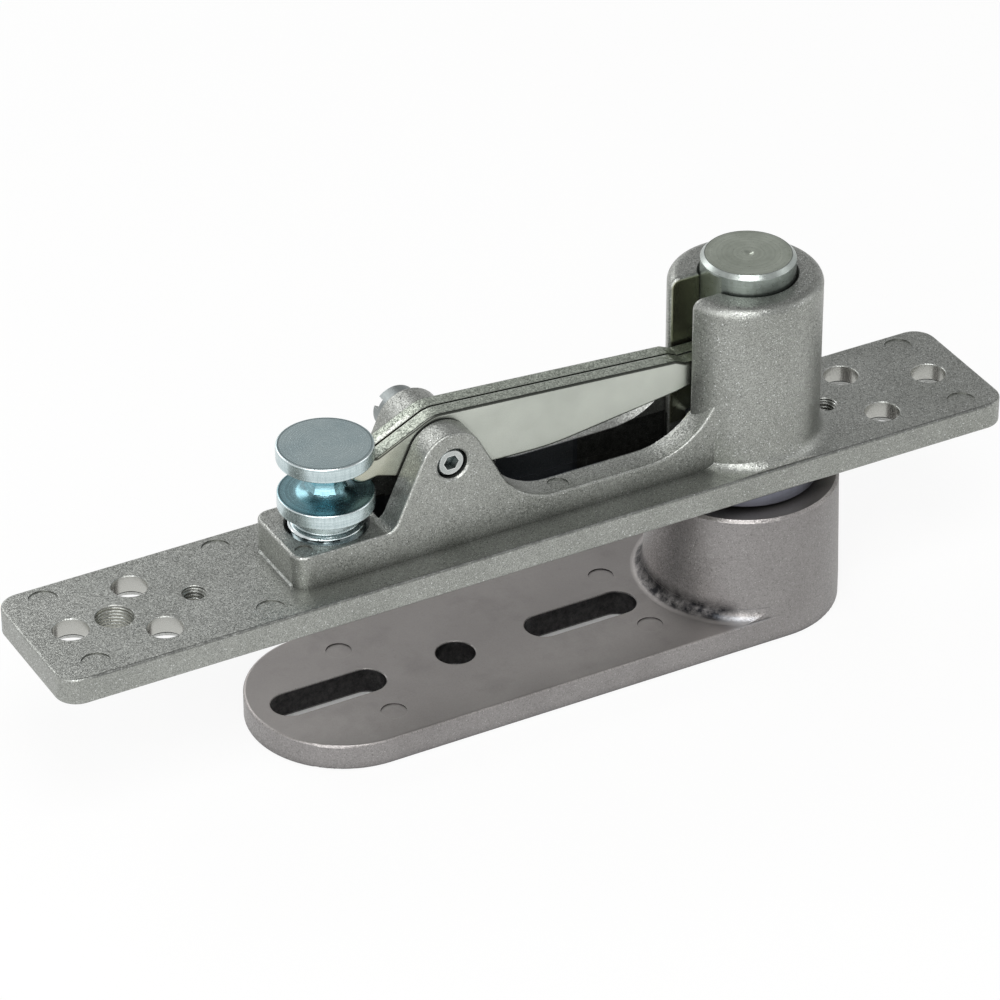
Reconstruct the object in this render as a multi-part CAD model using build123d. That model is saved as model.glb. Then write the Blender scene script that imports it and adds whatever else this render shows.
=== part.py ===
from build123d import *
import math
import os

# Glass door pivot hinge: the adjustable top pivot of a swing door, in millimetres.
# X runs along the frame plate, Y across it and Z is up. The origin lies under the middle of
# the frame plate, at the height of the door arm's underside.

# Frame plate
plate_length = 220.0
plate_width = 34.0
plate_thickness = 6.0
plate_corner_radius = 4.8
plate_top_rounding = 0.5
plate_bottom_rounding = 0.5

# Screw holes of the frame plate: one on the centre line and two beside it at each end.
# Each widens below its straight part, at 45 degrees, for a countersunk head.
frame_screw_radius = 3.75
frame_screw_land = 3.85
outer_screw_inset = 9.3
inner_screw_inset = 26.1
inner_screw_spread = 16.6
hole_edge_break = 0.15

# Tapped jig holes of the frame plate, at their thread's outer radius
large_tap_radius = 4.0
large_tap_inset = 18.9
small_tap_radius = 2.5
small_tap_inset = 36.5
small_tap_from_pin = 20.0

# Ejector marks: shallow round hollows that the casting tool leaves
mark_radius = 3.1
mark_depth = 0.25
mark_end_inset = 9.0
mark_inner_inset = 47.5
mark_spread = 25.0
pad_mark_radius = 1.9
pad_mark_inset = 3.0
valley_mark_radius = 2.3
valley_mark_from_pin = 48.8

# Screw pad and the two cheeks with their ears, heights counted from the plate's top
pad_left_from_screw = 11.75
pad_height = 7.5
pad_corner_radius = 3.2
pad_end_from_screw = 9.6
cheek_width = 20.2
channel_width = 8.4
channel_floor_thickness = 4.0
pocket_rear_y = 6.0
pocket_left_from_pin = 57.0
cheek_edge_rounding = 0.6
ear_crown_radius = 7.2
ear_left_slope = 65.5
ear_right_slope = 62.5
ear_foot_radius = 3.0
valley_height = 5.4
valley_left_radius = 15.0
curve_share = 0.8
valley_right_from_pin = 29.0
valley_right_radius = 17.5
valley_right_sweep = 78.0

# Frame boss round the pivot pin, stretched a little towards the lever
boss_radius = 15.8
boss_stretch = 1.1
boss_height = 38.3
boss_rim_rounding = 2.2
boss_foot_radius = 3.5
slot_edge_rounding = 0.9
bore_edge_break = 0.6

# Pivot pin
pin_from_end = 55.2
pin_radius = 10.0
pin_stand_out = 4.4
pin_lifted_gap = 0.3
pin_chamfer = 0.85
pin_lead_in = 1.2
pin_flat_offset = 9.0
pin_flat_start = 1.3
pin_centre_radius = 1.1
pin_centre_depth = 0.4
running_clearance = 0.05

# Flanged bush in the frame and plain bush in the door arm
flange_radius = 16.0
flange_thickness = 3.7
flange_chamfer = 0.5
frame_sleeve_radius = 12.5
frame_sleeve_length = 12.0
arm_bush_radius = 13.5
arm_bush_length = 24.0
fitting_clearance = 0.02

# Adjusting screw: a threaded stem under two discs that hold the lever's nose
screw_from_end = 66.5
screw_thread_radius = 7.94
screw_relief_radius = 7.3
screw_disc_radius = 10.0
screw_disc_thickness = 3.3
screw_disc_break = 0.25
screw_groove_height = 7.8
screw_neck_radius = 3.2
screw_neck_flare = 3.4
screw_travel_margin = 0.3
screw_thread_stand_out = 0.9
key_flats = 8.0
key_depth = 6.0
tapped_edge_break = 0.8

# Lever: two blanked plates side by side, shape counted from the lever's own pivot
lever_pivot_from_screw = 23.7
lever_pivot_height = 19.6
lever_plate_thickness = 3.7
lever_plate_gap = 0.1
lever_edge_roll = 0.45
nose_radius = 3.2
nose_gap = 0.3
nose_neck_gap = 0.4
nose_ramp_foot = (3.1, 1.0)
ramp_crest_x = -1.0
ramp_crest_height = 8.4
ramp_crest_radius = 7.0
back_end_height = 4.4
back_end_from_pin = 19.0
step_length = 2.4
belly_left_x = -10.6
belly_left_height = -3.3
belly_low_x = -3.0
belly_low_height = -6.3
belly_right_x = 26.0
belly_right_height = -7.15
belly_end_height = -3.0
belly_end_from_pin = 18.3
nose_hollow = (3.1, 1.0)
belly_low_rounding = 6.0
belly_right_rounding = 60.0
small_rounding = 1.5
step_rounding = 1.0
tip_radius = 2.9
tip_rise = 0.45
lever_tilt = 14.0

# Window of the pivot pin that takes the lever's tip
window_side_clearance = 0.45
window_clearance = 0.3
window_mouth_margin = 0.5

# Pivot screw of the lever, with its slotted head behind the rear ear
pivot_screw_radius = 4.0
pivot_screw_reach = 1.1
pivot_head_radius = 5.0
pivot_head_height = 5.4
pivot_head_break = 0.4
driver_slot_width = 2.2
driver_slot_depth = 1.9
driver_slot_angle = 31.0

# Locking screw in the front ear
lock_screw_radius = 3.4
lock_screw_length = 4.0
lock_screw_chamfer = 0.7
lock_socket_flats = 3.0
lock_socket_depth = 2.0
lock_recess_radius = 3.8

# Door arm
arm_thickness = 6.0
arm_width = 42.0
arm_left_from_pin = 116.0
arm_boss_height = 30.2
arm_boss_top_radius = 20.4
arm_boss_foot_radius = 2.5
arm_boss_rim_rounding = 0.6
arm_edge_rounding = 0.6
arm_slot_width = 8.5
arm_slot_length = 26.0
arm_slots_from_pin = (98.7, 39.1)
arm_hole_radius = 4.25
arm_hole_from_pin = 69.0
arm_mark_radius = 2.75
arm_marks_from_pin = ((90.0, 24.8), (28.2, 21.0))
turning_gap = 0.4

# Heights of the frame's stack, from the arm's underside up
flange_bottom = arm_boss_height + turning_gap
plate_bottom = flange_bottom + flange_thickness
plate_top = plate_bottom + plate_thickness
pad_top = plate_top + pad_height
boss_top = plate_top + boss_height
channel_floor = plate_bottom + channel_floor_thickness

# Axes of the pivot pin, the adjusting screw and the lever
pin_x = plate_length / 2 - pin_from_end
screw_x = screw_from_end - plate_length / 2
pad_left_x = screw_x - pad_left_from_screw
pad_end_x = screw_x + pad_end_from_screw
valley_right_x = pin_x - valley_right_from_pin
lever_x = screw_x + lever_pivot_from_screw
lever_z = plate_top + lever_pivot_height

# The lever's two arms, and what they move when it tilts
nose_x = screw_x + screw_neck_radius + nose_neck_gap + nose_radius - lever_x
tip_x = pin_x - lever_x
screw_travel = -nose_x * math.sin(math.radians(lever_tilt))
pin_lift = tip_x * math.sin(math.radians(lever_tilt))
pin_bottom = arm_boss_height + pin_lifted_gap - pin_lift
pin_top = boss_top + pin_stand_out

# Adjusting screw heights
lower_disc_bottom = pad_top + screw_travel + screw_travel_margin
lower_disc_top = lower_disc_bottom + screw_disc_thickness
upper_disc_bottom = lower_disc_top + screw_groove_height
upper_disc_top = upper_disc_bottom + screw_disc_thickness
screw_bottom = plate_bottom + screw_travel + screw_travel_margin

# Heights of the lever's nose and tip, seen from the lever's pivot
nose_z = upper_disc_bottom - nose_gap - nose_radius - lever_z
tip_z = tip_rise


def upright_outline(points, radii):
    """Face in the XZ plane with each corner rounded to its own radius."""
    return Plane.XZ * make_face(FilletPolyline(*points, radius=radii, close=True))


def slab_between(face, y_low, y_high):
    """Carry an upright face from one Y to another."""
    return Pos(0, y_low, 0) * extrude(face, amount=y_low - y_high)


def drilled_hole(x, y, radius, bottom, top, edge_break):
    """Cutter of a vertical hole with both its edges broken."""
    middle = (bottom + top) / 2
    cutter = Pos(x, y, middle) * Cylinder(radius, top - bottom + 2 * edge_break)
    for height, turn in ((top, 0), (bottom, 180)):
        cone = Cone(radius, radius + 2 * edge_break, 2 * edge_break)
        cutter += Pos(x, y, height) * Rot(turn, 0, 0) * cone
    return cutter


def countersunk_hole(x, y, radius, land, bottom, top, edge_break):
    """Cutter of a vertical hole with a broken upper edge and a countersink below."""
    sink = top - land - bottom
    cutter = drilled_hole(x, y, radius, top - land, top, edge_break)
    widening = Cone(radius + sink, radius, sink, align=(Align.CENTER, Align.CENTER, Align.MIN))
    return cutter + Pos(x, y, bottom) * widening


def slotted_hole(x, width, length, bottom, top, edge_break):
    """Cutter of a vertical slot along X with both its edges broken."""
    straight = SlotOverall(length, width)
    wide = SlotOverall(length + 2 * edge_break, width + 2 * edge_break)
    cutter = Pos(x, 0, bottom - edge_break) * extrude(straight, amount=top - bottom + 2 * edge_break)
    for height, direction in ((top, -1), (bottom, 1)):
        cutter += Pos(x, 0, height) * extrude(wide, amount=direction * edge_break, taper=45)
    return cutter


def ejector_mark(x, y, surface, radius):
    """Cutter of the shallow round hollow that an ejector leaves."""
    return Pos(x, y, surface) * Cylinder(radius, 2 * mark_depth)


def hexagon(flats):
    """Hexagon known by its width across the flats."""
    return RegularPolygon(flats / 2, 6, major_radius=False)


def base_plate():
    """Flat frame plate with its rounded edges, before any hole."""
    outline = RectangleRounded(plate_length, plate_width, plate_corner_radius)
    plate = Pos(0, 0, plate_bottom) * extrude(outline, amount=plate_thickness)
    top_edges = plate.faces().sort_by(Axis.Z)[-1].edges()
    plate = fillet(top_edges, plate_top_rounding)
    bottom_edges = plate.faces().sort_by(Axis.Z)[0].edges()
    return fillet(bottom_edges, plate_bottom_rounding)


def fitting_radius(before, corner, after, radius):
    """The radius, or less where its arc would take too much of a straight beside the corner."""
    arriving = Vector(*corner) - Vector(*before)
    leaving = Vector(*after) - Vector(*corner)
    turn = math.radians(arriving.get_angle(leaving))
    room = curve_share * min(arriving.length, leaving.length)
    return min(radius, room / math.tan(turn / 2))


def ridge_outline():
    """Side view of pad, ears and valley: flat pad, crowned ear, round valley up to the boss."""
    # The right curve is kept a hair short of its tangent points, so that a line stays between.
    right_radius = valley_right_radius * 0.999
    left_slope = math.radians(ear_left_slope)
    right_slope = math.radians(ear_right_slope)
    crown_z = plate_top + lever_pivot_height
    left_rise = crown_z - pad_top
    left_run = left_rise / math.tan(left_slope) + ear_crown_radius / math.sin(left_slope)
    ear_left_x = lever_x - left_run
    valley_z = plate_top + valley_height
    right_rise = crown_z - valley_z
    right_run = right_rise / math.tan(right_slope) + ear_crown_radius / math.sin(right_slope)
    valley_left_x = lever_x + right_run
    # The flanks meet above the pivot, where the crown rounds them off.
    apex_reach = ear_crown_radius / math.cos((left_slope + right_slope) / 2)
    apex_lean = (right_slope - left_slope) / 2
    apex = (
        lever_x + apex_reach * math.sin(apex_lean),
        crown_z + apex_reach * math.cos(apex_lean),
    )
    sweep = math.radians(valley_right_sweep)
    arc_x = valley_right_x + valley_right_radius * math.sin(sweep)
    arc_z = valley_z + valley_right_radius * (1 - math.cos(sweep))
    corner_x = valley_right_x + valley_right_radius * math.tan(sweep / 2)
    root_z = (plate_bottom + plate_top) / 2
    left_foot = (valley_left_x, valley_z)
    left_radius = fitting_radius(apex, left_foot, (valley_right_x, valley_z), valley_left_radius)
    points = [
        (pad_left_x, root_z),
        (pad_left_x, pad_top),
        (ear_left_x, pad_top),
        apex,
        left_foot,
        (corner_x, valley_z),
        (arc_x, arc_z),
        (pin_x, arc_z),
        (pin_x, root_z),
    ]
    radii = [0, 0, ear_foot_radius, ear_crown_radius, left_radius, right_radius, 0, 0, 0]
    return upright_outline(points, radii)


def ridge():
    """Pad and cheeks as one bar, with its top edges softened and its left corners round."""
    bar = slab_between(ridge_outline(), -cheek_width / 2, cheek_width / 2)
    left_corners = bar.edges().filter_by(Axis.Z).group_by(Axis.X)[0]
    bar = fillet(left_corners, pad_corner_radius)
    outer = []
    for side in bar.faces().filter_by(Axis.Y):
        for edge in side.edges():
            middle = edge @ 0.5
            if middle.Z > plate_top and middle.X < valley_right_x:
                outer.append(edge)
    return fillet(outer, cheek_edge_rounding)


def boss_column(bottom, top):
    """The boss's upright body, round at the back and stretched towards the lever."""
    outline = SlotOverall(2 * boss_radius + boss_stretch, 2 * boss_radius)
    return Pos(-boss_stretch / 2, 0, bottom) * extrude(outline, amount=top - bottom)


def boss_body():
    """Boss with a rounded rim, and a hollow foot kept within the plate's width."""
    root_z = (plate_bottom + plate_top) / 2
    upright = (Align.CENTER, Align.CENTER, Align.MIN)
    boss = boss_column(root_z, boss_top)
    boss = fillet(boss.faces().sort_by(Axis.Z)[-1].edges(), boss_rim_rounding)
    foot_outer = boss_radius + boss_foot_radius
    foot = Pos(0, 0, root_z) * Cylinder(foot_outer, plate_top + boss_foot_radius - root_z, align=upright)
    hollow_centre = Pos(foot_outer, plate_top + boss_foot_radius)
    hollow = revolve(Plane.XZ * (hollow_centre * Circle(boss_foot_radius)), Axis.Z)
    flat_width = plate_width - 2 * plate_top_rounding
    limit = Pos(0, 0, root_z) * Box(3 * foot_outer, flat_width, 2 * plate_thickness, align=upright)
    return Pos(pin_x, 0, 0) * (boss + ((foot - hollow) & limit))


def channel_cutter():
    """Open channel of the lever, from the pad's end through the boss's left wall."""
    left = pad_end_x
    height = pin_top - channel_floor
    length = pin_x - left
    return Pos(left + length / 2, 0, channel_floor + height / 2) * Box(length, channel_width, height)


def pocket_cutter():
    """Wider part of the channel behind the lever, from the rear ear to the boss's wall."""
    left = pin_x - pocket_left_from_pin
    height = pin_top - channel_floor
    length = pin_x - left
    middle = (left + pin_x) / 2
    box = Pos(middle, pocket_rear_y / 2, channel_floor + height / 2) * Box(length, pocket_rear_y, height)
    return box - Pos(pin_x, 0, 0) * boss_column(channel_floor, channel_floor + height)


def bore_cutter():
    """Bore of the pivot pin with the wider seat of the flanged bush below."""
    pin_bore = drilled_hole(
        pin_x, 0, pin_radius + running_clearance, plate_bottom, boss_top, bore_edge_break
    )
    seat_radius = frame_sleeve_radius + fitting_clearance
    seat = Pos(pin_x, 0, plate_bottom) * Cylinder(
        seat_radius, frame_sleeve_length, align=(Align.CENTER, Align.CENTER, Align.MIN)
    )
    return pin_bore + seat


def ear_bores():
    """Bore of the pivot screw through the ears and of the locking screw in the front ear."""
    axis_frame = Pos(lever_x, 0, lever_z) * Rot(-90, 0, 0)
    half = cheek_width / 2
    shank_front = channel_width / 2 + pivot_screw_reach
    from_front = (Align.CENTER, Align.CENTER, Align.MIN)
    shank = axis_frame * Pos(0, 0, -shank_front) * Cylinder(
        pivot_screw_radius + fitting_clearance, shank_front + half + 1, align=from_front
    )
    thread = axis_frame * Pos(0, 0, -half - 1) * Cylinder(
        lock_screw_radius + fitting_clearance, half, align=from_front
    )
    depth = lock_recess_radius - lock_screw_radius
    recess = axis_frame * Pos(0, 0, -half) * Cone(
        lock_recess_radius, lock_screw_radius, depth, align=from_front
    )
    return shank + thread + recess


def frame_casting():
    """Frame plate, pad, ears and boss, cast in one piece."""
    body = base_plate() + ridge() + boss_body()
    body -= channel_cutter() + pocket_cutter()
    slot_edges = [
        edge
        for edge in body.edges().filter_by(Axis.Z)
        if abs(abs(edge.center().Y) - channel_width / 2) < 0.01
        and pin_x - boss_radius - 1 < edge.center().X < pin_x - pin_radius
    ]
    body = fillet(slot_edges, slot_edge_rounding)
    body -= bore_cutter()
    body -= ear_bores()
    body -= drilled_hole(
        screw_x, 0, screw_thread_radius + running_clearance, plate_bottom, pad_top, tapped_edge_break
    )
    outer_x = plate_length / 2 - outer_screw_inset
    inner_x = plate_length / 2 - inner_screw_inset
    for side in (-1, 1):
        places = [(side * outer_x, 0)]
        places += [(side * inner_x, end * inner_screw_spread / 2) for end in (-1, 1)]
        for x, y in places:
            body -= countersunk_hole(
                x, y, frame_screw_radius, frame_screw_land, plate_bottom, plate_top, hole_edge_break
            )
    large_tap_x = large_tap_inset - plate_length / 2
    body -= drilled_hole(large_tap_x, 0, large_tap_radius, plate_bottom, plate_top, hole_edge_break)
    for x in (small_tap_inset - plate_length / 2, pin_x + small_tap_from_pin):
        body -= drilled_hole(x, 0, small_tap_radius, plate_bottom, plate_top, hole_edge_break)
    mark_x = plate_length / 2 - mark_end_inset
    for x in (-mark_x, mark_inner_inset - plate_length / 2, mark_x):
        for side in (-1, 1):
            body -= ejector_mark(x, side * mark_spread / 2, plate_top, mark_radius)
    pad_mark_y = pad_mark_inset - cheek_width / 2
    body -= ejector_mark(pad_left_x + pad_mark_inset, pad_mark_y, pad_top, pad_mark_radius)
    valley_mark_x = pin_x - valley_mark_from_pin
    valley_mark_y = -(cheek_width + channel_width) / 4
    valley_z = plate_top + valley_height
    body -= ejector_mark(valley_mark_x, valley_mark_y, valley_z, valley_mark_radius)
    return body


def frame_bush():
    """Flanged bush that guides the pin; its flange covers the plate's underside."""
    sleeve_outer = frame_sleeve_radius
    bore = pin_radius + running_clearance
    profile = Plane.XZ * make_face(
        Polyline(
            (bore, flange_bottom),
            (flange_radius - flange_chamfer, flange_bottom),
            (flange_radius, flange_bottom + flange_chamfer),
            (flange_radius, plate_bottom),
            (sleeve_outer, plate_bottom),
            (sleeve_outer, plate_bottom + frame_sleeve_length - flange_chamfer),
            (sleeve_outer - flange_chamfer, plate_bottom + frame_sleeve_length - fitting_clearance),
            (bore, plate_bottom + frame_sleeve_length - fitting_clearance),
            close=True,
        )
    )
    return Pos(pin_x, 0, 0) * revolve(profile, Axis.Z)


def pin_window():
    """Cutter of the pin's window: a slot for the tip with a mouth that opens downwards."""
    reach = tip_radius + window_clearance
    mouth_x = pin_radius + 1
    mouth_drop = mouth_x * math.tan(math.radians(lever_tilt + window_mouth_margin))
    tip_height = lever_z + tip_z
    outline = Plane.XZ * make_face(
        Polyline(
            (reach, tip_height - reach),
            (reach, tip_height + reach),
            (-mouth_x, tip_height + reach),
            (-mouth_x, tip_height - reach - mouth_drop),
            (0, tip_height - reach),
            close=True,
        )
    )
    half = lever_plate_gap / 2 + lever_plate_thickness + window_side_clearance
    return slab_between(outline, -half, half)


def pivot_pin():
    """Sliding pin with a chamfered top, a flat towards the lever and the lever's window."""
    length = pin_top - pin_bottom
    pin = Pos(0, 0, pin_bottom + length / 2) * Cylinder(pin_radius, length)
    rims = pin.edges().filter_by(GeomType.CIRCLE).sort_by(Axis.Z)
    pin = chamfer(rims[-1], pin_chamfer)
    pin = chamfer(pin.edges().filter_by(GeomType.CIRCLE).sort_by(Axis.Z)[0], pin_lead_in)
    flat_top = pin_top - pin_flat_start
    flat_bottom = lever_z + tip_z
    flat_height = flat_top - flat_bottom
    flat = Pos(-pin_flat_offset - pin_radius, 0, flat_bottom + flat_height / 2) * Box(
        2 * pin_radius, 2 * pin_radius, flat_height
    )
    centre = Pos(0, 0, pin_top) * Rot(180, 0, 0) * Cone(
        pin_centre_radius, 0, pin_centre_depth, align=(Align.CENTER, Align.CENTER, Align.MIN)
    )
    return Pos(pin_x, 0, 0) * (pin - flat - pin_window() - centre)


def adjusting_screw():
    """Threaded stem with a relief, two discs and a waisted neck between them."""
    flare = screw_neck_flare
    flare_centre = (screw_neck_radius + flare, lower_disc_top + flare)
    flare_middle = (
        flare_centre[0] - flare * math.cos(math.radians(45)),
        flare_centre[1] - flare * math.sin(math.radians(45)),
    )
    thread_top = pad_top + screw_thread_stand_out
    edge = screw_disc_break
    disc = screw_disc_radius
    lower = Polyline(
        (0, screw_bottom),
        (screw_thread_radius - edge, screw_bottom),
        (screw_thread_radius, screw_bottom + edge),
        (screw_thread_radius, thread_top - edge),
        (screw_thread_radius - edge, thread_top),
        (screw_relief_radius, thread_top),
        (screw_relief_radius, lower_disc_bottom),
        (disc - edge, lower_disc_bottom),
        (disc, lower_disc_bottom + edge),
        (disc, lower_disc_top - edge),
        (disc - edge, lower_disc_top),
        (flare_centre[0], lower_disc_top),
    )
    waist = ThreePointArc(
        (flare_centre[0], lower_disc_top), flare_middle, (screw_neck_radius, flare_centre[1])
    )
    upper = Polyline(
        (screw_neck_radius, flare_centre[1]),
        (screw_neck_radius, upper_disc_bottom),
        (disc - edge, upper_disc_bottom),
        (disc, upper_disc_bottom + edge),
        (disc, upper_disc_top - edge),
        (disc - edge, upper_disc_top),
        (0, upper_disc_top),
        (0, screw_bottom),
    )
    profile = Plane.XZ * make_face(lower + waist + upper)
    key = Pos(0, 0, screw_bottom) * extrude(hexagon(key_flats), amount=key_depth)
    return Pos(screw_x, 0, 0) * (revolve(profile, Axis.Z) - key)


def lever_outline():
    """Side view of a lever plate, without the round nose and tip."""
    foot_x, foot_drop = nose_ramp_foot
    hollow_x, hollow_rise = nose_hollow
    nose_top = nose_z + nose_radius
    nose_low = nose_z - nose_radius
    back_end_x = tip_x - back_end_from_pin
    points = [
        (nose_x, nose_top),
        (nose_x + foot_x, nose_top - foot_drop),
        (ramp_crest_x, ramp_crest_height),
        (back_end_x, back_end_height),
        (back_end_x + step_length, tip_z + tip_radius),
        (tip_x, tip_z + tip_radius),
        (tip_x, tip_z - tip_radius),
        (tip_x - belly_end_from_pin + step_length, tip_z - tip_radius),
        (tip_x - belly_end_from_pin, belly_end_height),
        (belly_right_x, belly_right_height),
        (belly_low_x, belly_low_height),
        (belly_left_x, belly_left_height),
        (nose_x + hollow_x, nose_low + hollow_rise),
        (nose_x, nose_low),
    ]
    return [(lever_x + x, lever_z + z) for x, z in points]


def lever_plate(side):
    """One lever plate; side is -1 for the front one and 1 for the rear one."""
    outline = lever_outline()
    belly_radius = fitting_radius(*outline[8:11], belly_right_rounding)
    radii = [0, small_rounding, ramp_crest_radius, step_rounding, step_rounding, 0, 0]
    radii += [step_rounding, step_rounding, belly_radius, belly_low_rounding]
    radii += [small_rounding, small_rounding, 0]
    face = upright_outline(outline, radii)
    inner = side * lever_plate_gap / 2
    outer = inner + side * lever_plate_thickness
    low, high = sorted((inner, outer))
    plate = slab_between(face, low, high)
    for x, z, radius in ((nose_x, nose_z, nose_radius), (tip_x, tip_z, tip_radius)):
        disc = Pos(lever_x + x, (low + high) / 2, lever_z + z) * Rot(90, 0, 0)
        plate += disc * Cylinder(radius, lever_plate_thickness)
    bore = Pos(lever_x, 0, lever_z) * Rot(90, 0, 0)
    plate -= bore * Cylinder(pivot_screw_radius + running_clearance, cheek_width)
    outer_face = plate.faces().filter_by(Axis.Y).sort_by(Axis.Y)[-1 if side > 0 else 0]
    return chamfer(outer_face.outer_wire().edges(), lever_edge_roll)


def lever_pivot_screw():
    """Plain shank through both ears with a slotted cheese head at the back."""
    half = cheek_width / 2
    shank_front = channel_width / 2 + pivot_screw_reach
    from_front = (Align.CENTER, Align.CENTER, Align.MIN)
    shank = Pos(0, 0, -shank_front + fitting_clearance) * Cylinder(
        pivot_screw_radius, shank_front + half, align=from_front
    )
    head = Pos(0, 0, half) * Cylinder(pivot_head_radius, pivot_head_height, align=from_front)
    head = chamfer(head.edges().filter_by(GeomType.CIRCLE).sort_by(Axis.Z)[-1], pivot_head_break)
    slot = Pos(0, 0, half + pivot_head_height) * Rot(0, 0, driver_slot_angle) * Box(
        3 * pivot_head_radius, driver_slot_width, 2 * driver_slot_depth
    )
    return Pos(lever_x, 0, lever_z) * Rot(-90, 0, 0) * (shank + head - slot)


def pivot_lock_screw():
    """Short grub screw with a hexagon socket that locks the pivot screw's end."""
    back = channel_width / 2 + pivot_screw_reach
    from_front = (Align.CENTER, Align.CENTER, Align.MIN)
    body = Pos(0, 0, -back - lock_screw_length) * Cylinder(
        lock_screw_radius, lock_screw_length, align=from_front
    )
    rims = body.edges().filter_by(GeomType.CIRCLE)
    body = chamfer(rims, lock_screw_chamfer)
    socket = Pos(0, 0, -back - lock_screw_length) * extrude(
        hexagon(lock_socket_flats), amount=lock_socket_depth
    )
    return Pos(lever_x, 0, lever_z) * Rot(-90, 0, 0) * (body - socket)


def door_arm():
    """Flat arm with a tall round boss at one end and slots for the door rail's screws."""
    radius = arm_width / 2
    left_centre = pin_x - arm_left_from_pin + radius
    length = pin_x - left_centre
    outline = Pos(left_centre + length / 2, 0) * SlotOverall(length + arm_width, arm_width)
    arm = extrude(outline, amount=arm_thickness)
    arm = fillet(arm.faces().sort_by(Axis.Z)[-1].edges(), arm_edge_rounding)
    arm = fillet(arm.faces().sort_by(Axis.Z)[0].edges(), arm_edge_rounding)
    foot = arm_boss_foot_radius
    profile = Plane.XZ * make_face(
        Polyline(
            (0, arm_edge_rounding),
            (radius, arm_edge_rounding),
            (radius, arm_thickness - arm_edge_rounding),
            (arm_boss_top_radius, arm_boss_height - arm_boss_rim_rounding),
            (arm_boss_top_radius - arm_boss_rim_rounding, arm_boss_height),
            (0, arm_boss_height),
            close=True,
        )
    )
    boss = revolve(profile, Axis.Z)
    foot_outer = radius + foot
    foot_height = arm_thickness + foot
    foot_disc = Pos(0, 0, foot_height / 2) * Cylinder(foot_outer, foot_height)
    hollow = revolve(Plane.XZ * (Pos(foot_outer, foot_height) * Circle(foot)), Axis.Z)
    flat_width = arm_width - 2 * arm_edge_rounding
    keep = Pos(-foot_outer / 2, 0, foot_height) * Box(foot_outer, flat_width, foot_height)
    arm += Pos(pin_x, 0, 0) * (boss + ((foot_disc - hollow) & keep))
    seat_bottom = arm_boss_height - arm_bush_length
    seat = Pos(pin_x, 0, seat_bottom) * Cylinder(
        arm_bush_radius + fitting_clearance, arm_bush_length, align=(Align.CENTER, Align.CENTER, Align.MIN)
    )
    arm -= seat
    for offset in arm_slots_from_pin:
        slot_x = pin_x - offset
        arm -= slotted_hole(slot_x, arm_slot_width, arm_slot_length, 0, arm_thickness, hole_edge_break)
    hole_x = pin_x - arm_hole_from_pin
    arm -= drilled_hole(hole_x, 0, arm_hole_radius, 0, arm_thickness, hole_edge_break)
    for offset, spread in arm_marks_from_pin:
        for side in (-1, 1):
            arm -= ejector_mark(pin_x - offset, side * spread / 2, arm_thickness, arm_mark_radius)
    return arm


def arm_bush():
    """Plain bush in the arm's boss, in which the pin's lower end turns."""
    bottom = arm_boss_height - arm_bush_length
    bore = pin_radius + running_clearance
    edge = bore_edge_break
    profile = Plane.XZ * make_face(
        Polyline(
            (bore, bottom),
            (arm_bush_radius, bottom),
            (arm_bush_radius, arm_boss_height),
            (bore + edge, arm_boss_height),
            (bore, arm_boss_height - edge),
            close=True,
        )
    )
    return Pos(pin_x, 0, 0) * revolve(profile, Axis.Z)


nodes = {
    "frame_casting": frame_casting(),
    "frame_bush": frame_bush(),
    "pivot_pin": pivot_pin(),
    "lever_plate_front": lever_plate(-1),
    "lever_plate_rear": lever_plate(1),
    "lever_pivot_screw": lever_pivot_screw(),
    "pivot_lock_screw": pivot_lock_screw(),
    "adjusting_screw": adjusting_screw(),
    "door_arm": door_arm(),
    "arm_bush": arm_bush(),
}

os.makedirs("parts", exist_ok=True)
for name, shape in nodes.items():
    export_step(shape, f"parts/{name}.step")
    print(name, len(shape.solids()), round(shape.volume, 1))
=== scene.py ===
import math

import bmesh
import bpy
import numpy as np
from mathutils import Matrix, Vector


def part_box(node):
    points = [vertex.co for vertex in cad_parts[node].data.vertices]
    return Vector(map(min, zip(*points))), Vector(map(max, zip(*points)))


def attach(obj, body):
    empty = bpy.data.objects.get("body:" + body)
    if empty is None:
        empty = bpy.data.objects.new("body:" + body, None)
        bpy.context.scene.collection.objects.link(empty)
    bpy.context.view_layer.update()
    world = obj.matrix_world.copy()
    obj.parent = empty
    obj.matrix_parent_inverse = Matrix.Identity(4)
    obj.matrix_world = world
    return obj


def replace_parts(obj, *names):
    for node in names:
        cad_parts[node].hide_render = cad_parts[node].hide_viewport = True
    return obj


# Looks of the glass door pivot hinge. The metal parts come packed. The adjusting screw and the two
# lever plates are built here again with their fine shape, and the jig holes get their threads.
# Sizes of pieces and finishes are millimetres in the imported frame, X along the plate and Z up.
# The floor, the room, the lamps and the camera are in metres.

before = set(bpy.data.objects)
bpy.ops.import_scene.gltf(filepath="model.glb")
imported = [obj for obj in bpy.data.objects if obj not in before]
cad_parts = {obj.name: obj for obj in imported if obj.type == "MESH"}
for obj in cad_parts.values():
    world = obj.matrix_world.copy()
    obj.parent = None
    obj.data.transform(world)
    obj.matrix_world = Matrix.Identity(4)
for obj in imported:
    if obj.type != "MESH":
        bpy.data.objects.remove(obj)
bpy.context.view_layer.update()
mm = 0.001


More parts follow.
